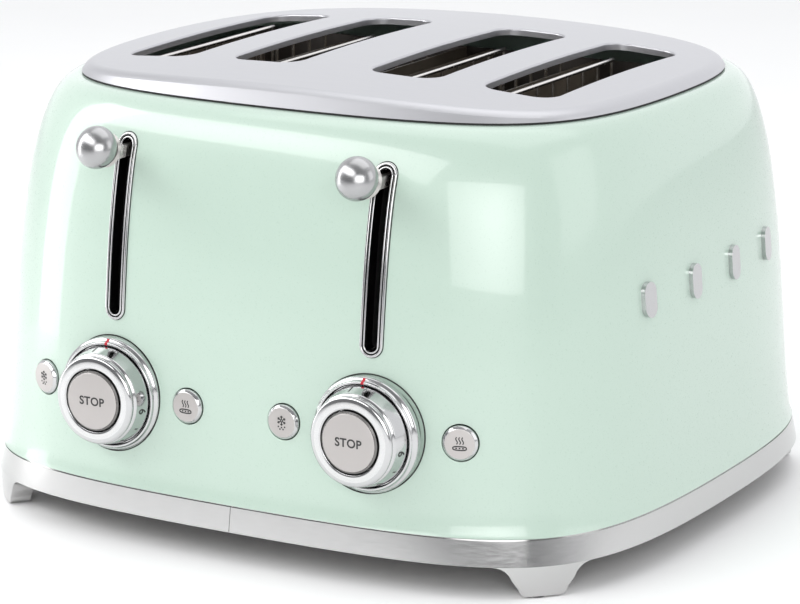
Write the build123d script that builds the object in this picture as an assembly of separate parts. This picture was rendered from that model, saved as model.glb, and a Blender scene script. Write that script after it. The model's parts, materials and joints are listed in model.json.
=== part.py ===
from build123d import *
import math
import os

# Four-slot pop up toaster. Millimetres, +Z up, X across the control face, -Y towards the user.
# The origin is on the ground under the middle of the bread slots.

# ---------------------------------------------------------------- driving dimensions
# Casing: every level is a plan outline of four mirrored cubic curves with half width A, half depth B,
# handle factor K and centre offset C along Y.
BAND_LOW = dict(a=171.6, b=157.7, k=0.89, c=0.9, z=14.5)
BAND_HIGH = dict(a=169.5, b=156.0, k=0.89, c=0.9, z=25.8)
SHELL_LOW = dict(a=169.5, b=156.0, k=0.89, c=0.9, z=26.6)
RIM = dict(a=142.1, b=119.9, k=0.83, c=1.7, z=200.2)
FOOT_LOW = dict(a=170.8, b=156.9, k=0.89, c=0.9, z=0.8)
# Side profile: (share of the inset, share of the height) as one cubic curve.
PROFILE = ((0.0, 0.0), (0.19, 0.06), (0.12, 1.01), (1.0, 1.0))
PROFILE_STEPS = (0.0, 0.07, 0.15, 0.25, 0.37, 0.5, 0.63, 0.75, 0.85, 0.93, 1.0)
SHEET = 1.2
SEAM_Y = 112.0

# Top panel
PANEL_TOP = 212.8
PANEL_Z = 201.2
DOME_RADIUS_X = 1362.0
DOME_RADIUS_Y = 1748.0
PANEL_LEAN_X = 3.4
PANEL_LEAN_Y = 6.6
PANEL_ROUND = 7.0
SEAL_HEIGHT = 0.8
SLOT_PITCH_PAIR = 58.3
SLOT_PITCH_MIDDLE = 73.1
SLOT_WIDTH = 36.0
SLOT_LENGTH = 135.3
SLOT_CORNER = 10.0
SLOT_LIP = 3.4

# Controls
CONTROL_X = 67.0
LEVER_SLOT_Z = (101.3, 185.8)
LEVER_SLOT_WIDTH = 11.5
LEVER_OPENING = 6.0
LEVER_TRAVEL = 70.0
BALL_CENTRE = (-157.0, 183.0)
BALL_RADIUS = 9.7
BALL_HALF_THICK = 7.8
STEM_RISE = 0.325
DIAL_Z = 67.9
DIAL_RADIUS = 26.3
STOP_FACE_Y = -165.0
STOP_RADIUS = 14.0
BUTTON_PITCH = 41.8
BUTTON_RADIUS = 8.05
BUTTON_PROUD = 2.0
BUTTON_TRAVEL = 1.5

# Inside
WALL_Y = 75.0
WALL_HALF_X = 128.0
ROD_Y = -95.0
ROD_RADIUS = 3.0
PAN_Z = 15.0
PAN_TOP = 16.2
CHAMBER_TOP = 198.5
SLEEVE_Z = 124.0
GUIDE_HINGE_Z = 46.0
GUIDE_TOP_Z = 201.5
GUIDE_OFFSET = 15.5
CARD_THICK = 1.0
RACK_Z = 118.0
BOARD_Y = -127.2
BOARD_TOP = 98.0
TRAY_HALF_X = 54.0
TRAY_Z = 16.5
PULL_TIP_Y = 165.0
GLAND_Z = 40.0
GLAND_BORE = 3.6
RUNNING = 0.05
FOOT_SHIFT = 2.0
FOOT_PAD_Z = 2.8
FOOT_PAD_RADIUS = 3.4
PAD_DEPTH = 5.0
SCREW_DEPTH = 17.0

CORNERS = ((1, 1), (1, -1), (-1, 1), (-1, -1))

SIDES = (("left", -1), ("right", 1))
SLOTS = [
    ("outer_left", -SLOT_PITCH_MIDDLE / 2 - SLOT_PITCH_PAIR, "left"),
    ("inner_left", -SLOT_PITCH_MIDDLE / 2, "left"),
    ("inner_right", SLOT_PITCH_MIDDLE / 2, "right"),
    ("outer_right", SLOT_PITCH_MIDDLE / 2 + SLOT_PITCH_PAIR, "right"),
]
CARD_OFFSET = SLOT_PITCH_PAIR / 2


# ---------------------------------------------------------------- helpers
def cubic(p, t):
    """Value of a one-dimensional cubic curve with control values p at t."""
    u = 1 - t
    return u**3 * p[0] + 3 * u * u * t * p[1] + 3 * u * t * t * p[2] + t**3 * p[3]


def cubic_slope(p, t):
    u = 1 - t
    return 3 * (u * u * (p[1] - p[0]) + 2 * u * t * (p[2] - p[1]) + t * t * (p[3] - p[2]))


def outline(a, b, k, c, z):
    """Closed plan outline at height z."""
    quarter = [(0, -b), (k * a, -b), (a, -k * b), (a, 0)]
    edges = []
    for sx, sy in ((1, 1), (1, -1), (-1, -1), (-1, 1)):
        points = [Vector(sx * x, sy * y + c, z) for x, y in quarter]
        if sx * sy < 0:
            points.reverse()
        edges.append(Edge.make_bezier(*points))
    return Wire(edges)


def grown(level, by, z=None):
    """The same level with its outline moved out by a distance, and another height if given."""
    out = dict(level, a=level["a"] + by, b=level["b"] + by)
    if z is not None:
        out["z"] = z
    return out


def prism(level, height):
    return extrude(Face(outline(**level)), amount=height, dir=(0, 0, 1))


def profile_level(t, by=0.0):
    """Level of the shell at profile parameter t, moved out square to the profile by a distance."""
    inset = cubic([p[0] for p in PROFILE], t)
    rise = cubic([p[1] for p in PROFILE], t)
    height = RIM["z"] - SHELL_LOW["z"]
    run = (SHELL_LOW["a"] - RIM["a"] + SHELL_LOW["b"] - RIM["b"]) / 2
    slope = math.atan2(run * cubic_slope([p[0] for p in PROFILE], t), height * cubic_slope([p[1] for p in PROFILE], t))
    out = {key: SHELL_LOW[key] + (RIM[key] - SHELL_LOW[key]) * inset for key in "abkc"}
    out["z"] = SHELL_LOW["z"] + height * rise + by * math.sin(slope)
    out["a"] += by * math.cos(slope)
    out["b"] += by * math.cos(slope)
    return out


def body(by=0.0):
    """Solid inside the shell's outer surface, moved out by a distance."""
    return Solid.make_loft([outline(**profile_level(t, by)) for t in PROFILE_STEPS])


def level_at(z):
    low, high = 0.0, 1.0
    for _ in range(40):
        mid = (low + high) / 2
        if profile_level(mid)["z"] < z:
            low = mid
        else:
            high = mid
    return profile_level(low)


def front_y(x, z):
    """Y of the shell's front surface at x and height z."""
    level = level_at(z)
    low, high = 0.0, 1.0
    for _ in range(40):
        mid = (low + high) / 2
        if cubic((0, level["k"] * level["a"], level["a"], level["a"]), mid) < abs(x):
            low = mid
        else:
            high = mid
    return level["c"] - cubic((level["b"], level["b"], level["k"] * level["b"], 0), low)


def front_turn(x, z):
    """Angle in degrees about Z of the front surface's normal from -Y at x."""
    step = 2.0
    return math.degrees(math.atan2(front_y(x + step, z) - front_y(x - step, z), 2 * step))


def block(x0, x1, y0, y1, z0, z1):
    return Pos((x0 + x1) / 2, (y0 + y1) / 2, (z0 + z1) / 2) * Box(x1 - x0, y1 - y0, z1 - z0)


def rod_z(x, y, z0, z1, radius):
    return Pos(x, y, (z0 + z1) / 2) * Cylinder(radius, z1 - z0)


def rod_y(x, z, y0, y1, radius):
    return Pos(x, (y0 + y1) / 2, z) * Rot(90, 0, 0) * Cylinder(radius, y1 - y0)


def turned(points, x, z):
    """Solid of revolution about a line along Y through (x, z), from (radius, y) points."""
    face = make_face(Polyline([(r, y) for r, y in points], close=True))
    return Pos(x, 0, z) * revolve(face, axis=Axis.Y)


def upright_slot(x, width, z0, z1, y0, y1):
    """Upright stadium through the front face."""
    shape = SlotOverall(z1 - z0, width, rotation=90)
    sketch = Plane((x, y0, (z0 + z1) / 2), x_dir=(1, 0, 0), z_dir=(0, 1, 0)) * shape
    return extrude(sketch, amount=y1 - y0, dir=(0, 1, 0))


def save(shape, name):
    shape.label = name
    export_step(shape, "parts/" + name + ".step")


def group(solids):
    return Compound(children=list(solids))


# ---------------------------------------------------------------- casing
def make_shell(outer):
    shell = outer - body(-SHEET)
    shell -= prism(grown(RIM, -6.5, RIM["z"] - 6), 12)
    for _, side in SIDES:
        x = side * CONTROL_X
        low, high = LEVER_SLOT_Z
        shell -= upright_slot(x, LEVER_SLOT_WIDTH - 2.4, low + 1.2, high - 1.2, -170, -110)
        shell -= rod_y(x, DIAL_Z, -170, -120, DIAL_RADIUS - 1.9)
        for button_x in (x - BUTTON_PITCH, x + BUTTON_PITCH):
            shell -= button_place(button_x) * Rot(90, 0, 0) * Cylinder(BUTTON_RADIUS + 0.35, 40)
    shell -= rod_y(0, GLAND_Z, 120, 180, 6.2)
    return group(pressings(shell))


def pressings(shell):
    """The casing's front, rear, left and right pressings, which meet face to face."""
    reach, top = 200, 250
    return [
        (shell & area).solid()
        for area in (
            block(-reach, reach, -reach, -SEAM_Y, 0, top),
            block(-reach, reach, SEAM_Y, reach, 0, top),
            block(-reach, 0, -SEAM_Y, SEAM_Y, 0, top),
            block(0, reach, -SEAM_Y, SEAM_Y, 0, top),
        )
    ]


def make_seal():
    ring = prism(grown(RIM, -0.5, RIM["z"]), SEAL_HEIGHT)
    return ring - prism(grown(RIM, -5.5, RIM["z"] - 1), SEAL_HEIGHT + 2)


def dome(top):
    """Barrel under the top panel's surface, an arc across Y turned about a line along Y."""
    reach = 200
    sag = math.sqrt(DOME_RADIUS_Y**2 - reach**2)
    arc = ThreePointArc(
        (0, -reach, top - DOME_RADIUS_Y + sag), (0, 0, top), (0, reach, top - DOME_RADIUS_Y + sag)
    )
    floor_z = top - 60
    ends = Polyline([(0, reach, top - DOME_RADIUS_Y + sag), (0, reach, floor_z), (0, -reach, floor_z),
                     (0, -reach, top - DOME_RADIUS_Y + sag)])
    face = make_face(Wire([arc.edge()] + list(ends.edges())))
    spin = Axis((0, 0, top - DOME_RADIUS_X), (0, 1, 0))
    turn = 9.0
    return revolve(face.rotate(spin, -turn), axis=spin, revolution_arc=2 * turn)


def panel_block(inset, drop, round_radius):
    low = grown(RIM, -0.3 - inset, PANEL_Z - (4 if inset else 0))
    high = dict(low, a=low["a"] - 2 * PANEL_LEAN_X, b=low["b"] - 2 * PANEL_LEAN_Y, z=PANEL_Z + 2 * 8.0)
    solid = Solid.make_loft([outline(**low), outline(**high)]) & dome(PANEL_TOP - drop)
    top_face = solid.faces().sort_by(Axis.Z)[-1]
    return solid.solid().fillet(round_radius, top_face.edges())


def slot_prism(x, grow, z0):
    sketch = RectangleRounded(SLOT_WIDTH + 2 * grow, SLOT_LENGTH + 2 * grow, SLOT_CORNER + grow)
    return Pos(x, 0, z0) * extrude(sketch, amount=PANEL_TOP + 5 - z0)


def make_panel():
    outer = panel_block(0.0, 0.0, PANEL_ROUND)
    panel = outer - panel_block(SHEET, SHEET, PANEL_ROUND - SHEET)
    lip_layer = dome(PANEL_TOP) - dome(PANEL_TOP - SLOT_LIP)
    for _, x, _ in SLOTS:
        panel += slot_prism(x, SHEET, PANEL_Z) & lip_layer
    for _, x, _ in SLOTS:
        panel -= slot_prism(x, 0.0, PANEL_Z - 5)
    rims = [e for e in panel.edges() if is_slot_rim(e)]
    return panel.solid().fillet(0.9, rims)


def is_slot_rim(edge):
    """True for the edges where a slot's inner wall meets the top of the panel."""
    centre = edge.center()
    top = PANEL_TOP - centre.X**2 / (2 * DOME_RADIUS_X) - centre.Y**2 / (2 * DOME_RADIUS_Y)
    in_y = abs(centre.Y) < SLOT_LENGTH / 2 + 0.1
    in_x = any(abs(centre.X - x) < SLOT_WIDTH / 2 + 0.1 for _, x, _ in SLOTS)
    return in_x and in_y and abs(centre.Z - top) < 1.0


def corner_place(sx, sy, depth=0.0, z=0.0):
    """Place on the band's corner, a depth inside its lower outline, with local X pointing square out."""
    a, b, k = BAND_LOW["a"], BAND_LOW["b"], BAND_LOW["k"]
    x, y = cubic((0, k * a, a, a), 0.5), cubic((b, b, k * b, 0), 0.5)
    length = math.hypot(a, b)
    nx, ny = b / length, a / length
    turn = math.degrees(math.atan2(sy * ny, sx * nx))
    return Pos(sx * (x - nx * depth), BAND_LOW["c"] + sy * (y - ny * depth), z) * Rot(0, 0, turn)


def foot_cutter(sx, sy):
    """Upright plate across a corner with the foot's tapered and flared outline."""
    top = BAND_LOW["z"] + 0.01
    bottom = FOOT_LOW["z"]
    half_top, half_low, neck = 23.0, 11.0, 14.2
    left = [
        Line((-half_low + 3.2, bottom), (half_low - 3.2, bottom)),
        ThreePointArc((half_low - 3.2, bottom), (half_low - 0.9, bottom + 0.95), (half_low, bottom + 3.2)),
        Line((half_low, bottom + 3.2), (neck, top - 6.4)),
        ThreePointArc((neck, top - 6.4), (neck + 3.2, top - 1.9), (half_top, top)),
        Line((half_top, top), (-half_top, top)),
        ThreePointArc((-half_top, top), (-neck - 3.2, top - 1.9), (-neck, top - 6.4)),
        Line((-neck, top - 6.4), (-half_low, bottom + 3.2)),
        ThreePointArc((-half_low, bottom + 3.2), (-half_low + 0.9, bottom + 0.95), (-half_low + 3.2, bottom)),
    ]
    face = make_face(Wire([piece.edge() for piece in left]))
    plate = extrude(Plane.YZ * face, amount=40, both=True)
    return corner_place(sx, sy) * Pos(0, -sx * sy * FOOT_SHIFT, 0) * plate


def tray_window(x, gap):
    return block(x - TRAY_HALF_X - gap, x + TRAY_HALF_X + gap, 60, 190, TRAY_Z - gap, TRAY_Z + 7.4 + gap)


def make_band():
    thick, foot_thick, ledge = 2.0, 9.0, 5.0
    wall = Solid.make_loft([outline(**BAND_LOW), outline(**BAND_HIGH)])
    ring = wall - prism(grown(BAND_LOW, -thick - 1.0, BAND_LOW["z"] - 1), 30)
    step = SHELL_LOW["z"] - BAND_HIGH["z"]
    rest = prism(grown(BAND_HIGH, -0.8, BAND_HIGH["z"] - 1.6), 1.6 + step)
    ring += rest - prism(grown(BAND_HIGH, -ledge, BAND_HIGH["z"] - 3), 6)
    feet = Solid.make_loft([outline(**FOOT_LOW), outline(**BAND_LOW)])
    feet -= prism(grown(BAND_LOW, -foot_thick, -5), 60)
    inner = prism(grown(BAND_LOW, -1.8, BAND_LOW["z"]), 5.9)
    for sx, sy in CORNERS:
        ring += feet & foot_cutter(sx, sy)
        gusset = corner_place(sx, sy, 14.0, PAN_TOP + 2.2) * Box(26, 36, 4.2)
        ring += inner & gusset
        ring -= corner_place(sx, sy, PAD_DEPTH, FOOT_PAD_Z / 2) * Cylinder(FOOT_PAD_RADIUS, FOOT_PAD_Z)
        ring -= corner_place(sx, sy, SCREW_DEPTH, 15) * Cylinder(1.5, 30)
    core = Solid.make_loft([outline(**grown(BAND_LOW, -0.6)), outline(**grown(BAND_HIGH, -0.6))])
    ring -= block(-0.2, 0.2, -165, 165, BAND_LOW["z"], BAND_HIGH["z"]) - core
    for _, side in SIDES:
        ring -= tray_window(side * CONTROL_X, 0.4)
    return ring


def make_foot_pads():
    pads = []
    for sx, sy in CORNERS:
        pads.append(corner_place(sx, sy, PAD_DEPTH, FOOT_PAD_Z / 2) * Cylinder(FOOT_PAD_RADIUS, FOOT_PAD_Z))
    return group(pads)


def make_pan():
    floor = prism(grown(BAND_LOW, -3.6, PAN_Z), PAN_TOP - PAN_Z)
    for row in range(5):
        for _, side in SIDES:
            y = -50 + 25 * row
            floor -= Pos(side * CONTROL_X, y, PAN_Z) * extrude(SlotOverall(70, 3.5), amount=4, both=True)
    for sx, sy in CORNERS:
        floor -= corner_place(sx, sy, SCREW_DEPTH, 15) * Cylinder(1.7, 30)
    for _, side in SIDES:
        for offset in (-40, 40):
            x = side * CONTROL_X + offset
            floor += block(x - 5, x + 5, BOARD_Y, BOARD_Y + 1.2, PAN_TOP - 0.2, 36)
        for edge in (-TRAY_HALF_X - 1.6, TRAY_HALF_X + 0.6):
            x = side * CONTROL_X + edge
            floor += block(x, x + 1, -68, 100, PAN_TOP - 0.2, PAN_TOP + 4)
    return floor


def make_screws():
    screws = []
    for sx, sy in CORNERS:
        head = Pos(0, 0, PAN_Z - 0.8) * Cylinder(3.2, 1.6)
        shank = Pos(0, 0, PAN_Z + 2.4) * Cylinder(1.48, 5.2)
        slot = Pos(0, 0, PAN_Z - 1.4) * Box(4.4, 0.8, 0.8)
        screws.append(corner_place(sx, sy, SCREW_DEPTH) * (head + shank - slot))
    return group(screws)


def make_tray(x, band_solid):
    floor_top = TRAY_Z + 0.8
    half = TRAY_HALF_X
    front_end, back_end = -66.0, 140.0
    tray = block(x - half, x + half, front_end, back_end, TRAY_Z, floor_top)
    for edge in (x - half, x + half - 0.8):
        tray += block(edge, edge + 0.8, front_end, back_end, TRAY_Z, TRAY_Z + 5.8)
    tray += block(x - half, x + half, front_end, front_end + 0.8, TRAY_Z, TRAY_Z + 5.8)
    tray -= block(x - half - 1, x + half + 1, 120, 180, TRAY_Z - 2, TRAY_Z + 30)
    face_band = band_solid - prism(grown(BAND_LOW, -4.2, 0), 60)
    face = face_band & tray_window(x, 0.0)
    tongue = block(x - half + 4, x + half - 4, 118, 170, TRAY_Z, floor_top)
    tongue &= prism(grown(BAND_LOW, -3.0, 0), 60)
    pull_face = RectangleRounded(38, 24, 8)
    pull = Pos(x, PULL_TIP_Y - 12, TRAY_Z + 2.9) * extrude(pull_face, amount=1.6)
    pull -= prism(grown(BAND_LOW, -3.0, 0), 60)
    return tray + tongue + face + pull


def make_gland():
    back = level_at(GLAND_Z)["b"] + level_at(GLAND_Z)["c"]
    points = [
        (GLAND_BORE, back - 7), (6.0, back - 7), (7.8, back - 4), (7.8, back), (8.8, back),
        (8.8, back + 2.2), (6.0, back + 4.6), (GLAND_BORE, back + 4.6),
    ]
    groove = body(0.1) - body(-SHEET - 0.1) - rod_y(0, GLAND_Z, 120, 180, 6.0)
    return turned(points, 0, GLAND_Z) - groove


def make_studs(outer, proud):
    """Four plain upright pills that stand proud of the +X side."""
    skin = body(proud) - outer
    studs = []
    for row in (-1.5, -0.5, 0.5, 1.5):
        shape = SlotOverall(16, 9, rotation=90)
        sketch = Plane((100, row * 41.85, 121.2), x_dir=(0, 1, 0), z_dir=(1, 0, 0)) * shape
        studs.append(skin & extrude(sketch, amount=100, dir=(1, 0, 0)))
    return group([piece.solid() for piece in studs])


# ---------------------------------------------------------------- controls
def button_place(x):
    """Centre of a small button's face on the shell, turned to face square out."""
    turn = front_turn(x, DIAL_Z)
    return Pos(x, front_y(x, DIAL_Z), DIAL_Z) * Rot(0, 0, turn)


def make_button(x):
    face = -BUTTON_PROUD
    turn = math.radians(front_turn(x, DIAL_Z))
    stem_end = (BOARD_Y - 4.4 - front_y(x, DIAL_Z)) / math.cos(turn)
    points = [
        (0, face), (BUTTON_RADIUS - 1.6, face), (BUTTON_RADIUS, face + 1.5), (BUTTON_RADIUS, 6.5),
        (2.5, 6.5), (2.5, stem_end), (0, stem_end),
    ]
    return button_place(x) * turned(points, 0, 0)


def make_slot_bezel(x, outer, skin):
    """Double chrome frame that follows the shell round a lever slot, with a collar through it."""
    low, high = LEVER_SLOT_Z
    ridge = 1.35
    frame = upright_slot(x, LEVER_SLOT_WIDTH, low, high, -175, -110)
    groove = upright_slot(x, LEVER_SLOT_WIDTH - 2 * ridge, low + ridge, high - ridge, -175, -110)
    inner_grow = (LEVER_SLOT_WIDTH - LEVER_OPENING) / 2
    opening = upright_slot(x, LEVER_OPENING, low + inner_grow, high - inner_grow, -175, -100)
    inner = upright_slot(x, LEVER_OPENING + 2.0, low + inner_grow - 1, high - inner_grow + 1, -175, -110)
    ridges = (skin & frame) - (groove - inner)
    collar_half = (LEVER_SLOT_WIDTH - 2.7) / 2
    grow = LEVER_SLOT_WIDTH / 2 - collar_half
    collar = upright_slot(x, 2 * collar_half, low + grow, high - grow, -175, -110)
    collar &= body(0.25) - body(-4.0)
    return (ridges + collar) - opening


def make_dial_bezel(x, outer):
    surface = front_y(x, DIAL_Z)
    front = -150.3
    ring = [
        (23.3, -142), (DIAL_RADIUS, -142), (DIAL_RADIUS, front), (DIAL_RADIUS - 0.7, front - 1.1),
        (24.9, front - 1.3), (24.6, front - 1.9), (24.2, front - 2.7), (23.6, front - 2.9), (23.3, front - 2.6),
    ]
    boss_radius = DIAL_RADIUS - 2.0
    boss = [
        (20.0, surface + 6), (boss_radius, surface + 6), (boss_radius, front), (23.3, front),
        (23.3, front - 0.4), (20.0, front - 0.4),
    ]
    return (turned(ring, x, DIAL_Z) - outer) + turned(boss, x, DIAL_Z)


def make_knob(x):
    face = STOP_FACE_Y + 0.9
    points = [
        (4.0, face + 8.4), (14.7, face + 8.4), (14.7, face), (19.7, face), (20.5, face + 0.6),
        (20.5, face + 2.2), (19.9, face + 2.8), (19.9, face + 3.4), (20.9, face + 4.0), (22.7, -153.4),
        (22.7, -151.6), (21.2, -151.6), (19.6, face + 9.8), (7.5, face + 9.8), (7.5, -149.0), (4.0, -149.0),
    ]
    return turned(points, x, DIAL_Z)


def make_shaft(x):
    points = [(2.6, -156.2), (4.0, -156.2), (4.0, BOARD_Y - 2.0), (2.6, BOARD_Y - 2.0)]
    return turned(points, x, DIAL_Z)


def make_stop(x):
    points = [
        (0, STOP_FACE_Y), (STOP_RADIUS - 0.4, STOP_FACE_Y), (STOP_RADIUS, STOP_FACE_Y + 0.4),
        (STOP_RADIUS, STOP_FACE_Y + 6.2), (2.2, STOP_FACE_Y + 6.2), (2.2, BOARD_Y + 2.4), (0, BOARD_Y + 2.4),
    ]
    return turned(points, x, DIAL_Z)


def make_board(x):
    board = block(x - 56, x + 56, BOARD_Y - 1.6, BOARD_Y, 30, BOARD_TOP)
    board += turned([(4.0 + RUNNING, BOARD_Y - 6.6), (8, BOARD_Y - 6.6), (8, BOARD_Y - 1.5),
                     (4.0 + RUNNING, BOARD_Y - 1.5)], x, DIAL_Z)
    board -= rod_y(x, DIAL_Z, BOARD_Y - 3, BOARD_Y + 1, 3.0)
    board += block(x - 7, x + 7, BOARD_Y + 5.2, BOARD_Y + 10, DIAL_Z - 7, DIAL_Z + 7)
    for dx in (-7, 5.6):
        board += block(x + dx, x + dx + 1.4, BOARD_Y - 0.2, BOARD_Y + 5.4, DIAL_Z - 7, DIAL_Z + 7)
    for dx, dz, w, h, d in ((-48, 38, 14, 10, 9), (-30, 80, 18, 12, 6), (18, 78, 12, 12, 8), (26, 40, 20, 16, 10)):
        board += block(x + dx, x + dx + w, BOARD_Y - 0.2, BOARD_Y + d, dz, dz + h)
    return board


def stem_point(y):
    return y, BALL_CENTRE[1] - (y - BALL_CENTRE[0]) * STEM_RISE


def stem_place(x, y):
    """Place on the ball's stem with local -Z pointing out along the stem."""
    tilt = math.degrees(math.atan(STEM_RISE))
    return Pos(x, y, stem_point(y)[1]) * Rot(-90 - tilt, 0, 0)


def make_ball(x):
    ball = scale(Sphere(BALL_RADIUS), by=(1, 1, BALL_HALF_THICK / BALL_RADIUS))
    bore = Pos(0, 0, 10) * Cylinder(2.5, 20)
    return stem_place(x, BALL_CENTRE[0]) * (ball - bore)


def make_lever_arm(x):
    slot_y = -141.0
    strip_z = stem_point(slot_y)[1]
    tilt = math.atan(STEM_RISE)
    length = (slot_y - BALL_CENTRE[0]) / math.cos(tilt)
    stem = Pos(0, 0, length / 2) * Cylinder(2.5, length)
    collar_at = (-149.6 - BALL_CENTRE[0]) / math.cos(tilt)
    collar_face = make_face(Polyline([(2.0, 1.3), (7.0, 1.3), (7.9, 0.2), (7.0, -1.1), (2.0, 0.1)], close=True))
    collar = Pos(0, 0, collar_at) * revolve(Plane.XZ * collar_face, axis=Axis.Z)
    arm = stem_place(x, BALL_CENTRE[0]) * (stem + collar)
    arm += block(x - 1.6, x + 1.6, slot_y - 0.6, ROD_Y - 7, strip_z - 2.6, strip_z + 2.6)
    return arm


# ---------------------------------------------------------------- mechanism
def make_front_wall():
    wall = bulkhead(-1)
    for _, side in SIDES:
        x = side * CONTROL_X
        tab = block(x - 12, x + 12, ROD_Y - 9, -WALL_Y - 0.2, CHAMBER_TOP - 1.5, CHAMBER_TOP)
        wall += tab - rod_z(x, ROD_Y, CHAMBER_TOP - 5, CHAMBER_TOP + 5, ROD_RADIUS)
    return wall


def bulkhead(side):
    """Pressed plate across one end of the heating chamber, with a slot for each rack arm."""
    y0, y1 = sorted((side * WALL_Y, side * (WALL_Y + 1)))
    plate = block(-WALL_HALF_X, WALL_HALF_X, y0, y1, PAN_TOP, CHAMBER_TOP)
    for _, x, _ in SLOTS:
        low = RACK_Z - LEVER_TRAVEL - 2
        plate -= block(x - 2.5, x + 2.5, y0 - 1, y1 + 1, low, RACK_Z + 12)
        for edge in (-GUIDE_OFFSET, GUIDE_OFFSET):
            plate -= rod_y(x + edge, GUIDE_HINGE_Z, y0 - 1, y1 + 1, 1.2 + RUNNING)
    return plate


def make_rear_wall():
    wall = bulkhead(1)
    for _, side in SIDES:
        x = side * CONTROL_X
        wall -= block(x - TRAY_HALF_X - 2.2, x + TRAY_HALF_X + 2.2, 60, 90, 0, TRAY_Z + 8.4)
    return wall


def make_rod(x):
    return rod_z(x, ROD_Y, PAN_TOP, CHAMBER_TOP + 2, ROD_RADIUS)


def make_carriage(x, slots):
    top = SLEEVE_Z + 58
    strip_z = stem_point(-141.0)[1]
    part = rod_z(x, ROD_Y, SLEEVE_Z, top, 6.0)
    part += block(x - 3, x + 3, ROD_Y - 7, ROD_Y, strip_z - 5.5, top)
    part += block(x - 4, x + 4, ROD_Y, -84, SLEEVE_Z, top)
    part += block(min(slots) - 5, max(slots) + 5, -84.2, -82.5, RACK_Z - 2, RACK_Z + 20)
    part += block(x + 12, x + 26, -98, -84, RACK_Z - 2, RACK_Z - 0.5)
    part -= rod_z(x, ROD_Y, SLEEVE_Z - 1, top + 1, ROD_RADIUS + RUNNING)
    return part


def make_rack(x):
    """Bread support: a long edge-on strip with cross bars that the slice stands on."""
    strip = block(x - 1, x + 1, -82.5, 80, RACK_Z, RACK_Z + 8)
    strip += block(x - 4.5, x + 4.5, -82.5, -81.3, RACK_Z, RACK_Z + 16)
    for row in range(9):
        y = -56 + 14 * row
        strip += block(x - 9, x + 9, y - 2, y + 2, RACK_Z + 7.6, RACK_Z + 9)
    return strip


def make_spring(x):
    """Open coil round the guide rod, from the pan to the carriage sleeve."""
    low, high, wire, turns = PAN_TOP + 1.0, SLEEVE_Z - 1.0, 0.7, 16
    path = Helix(pitch=(high - low) / turns, height=high - low, radius=5.2)
    start = Plane(origin=path @ 0, z_dir=path % 0)
    coil = sweep(start * Circle(wire), path=path)
    return Pos(x, ROD_Y, low) * coil


def make_magnet(x):
    core_top = RACK_Z - 2 - LEVER_TRAVEL - 0.5
    x0 = x + 19
    core = block(x0 - 7, x0 + 7, -96, -86, PAN_TOP, core_top)
    core -= block(x0 - 3.5, x0 + 3.5, -97, -85, 24, core_top + 1)
    coil = block(x0 - 3.4, x0 + 3.4, -98.5, -83.5, 25, core_top - 3)
    return group([core.solid(), coil])


def make_card(x):
    return block(x - CARD_THICK / 2, x + CARD_THICK / 2, -WALL_Y, WALL_Y, 52, CHAMBER_TOP)


def make_windings(cards):
    ribbons = []
    for x, faces in cards:
        for face in faces:
            x0, x1 = sorted((x + face * CARD_THICK / 2, x + face * (CARD_THICK / 2 + 0.3)))
            for row in range(5):
                z = 64 + 26 * row
                ribbons.append(block(x0, x1, -62, 62, z, z + 1.4))
    return group(ribbons)


def make_guide(x):
    """Wire grid beside a slice: hinge rod below, top rod, uprights and two cross wires."""
    low, high, reach = GUIDE_HINGE_Z, GUIDE_TOP_Z, 62.0
    grid = rod_y(x, low, -WALL_Y - 2.5, WALL_Y + 2.5, 1.2)
    grid += rod_y(x, high, -reach, reach, 1.1)
    for row in range(9):
        y = -reach + 1 + row * (reach - 1) / 4
        grid += rod_z(x, y, low, high, 0.8)
    for z in (95.0, 150.0):
        grid += rod_y(x, z, -reach, reach, 0.8)
    return grid


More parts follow.
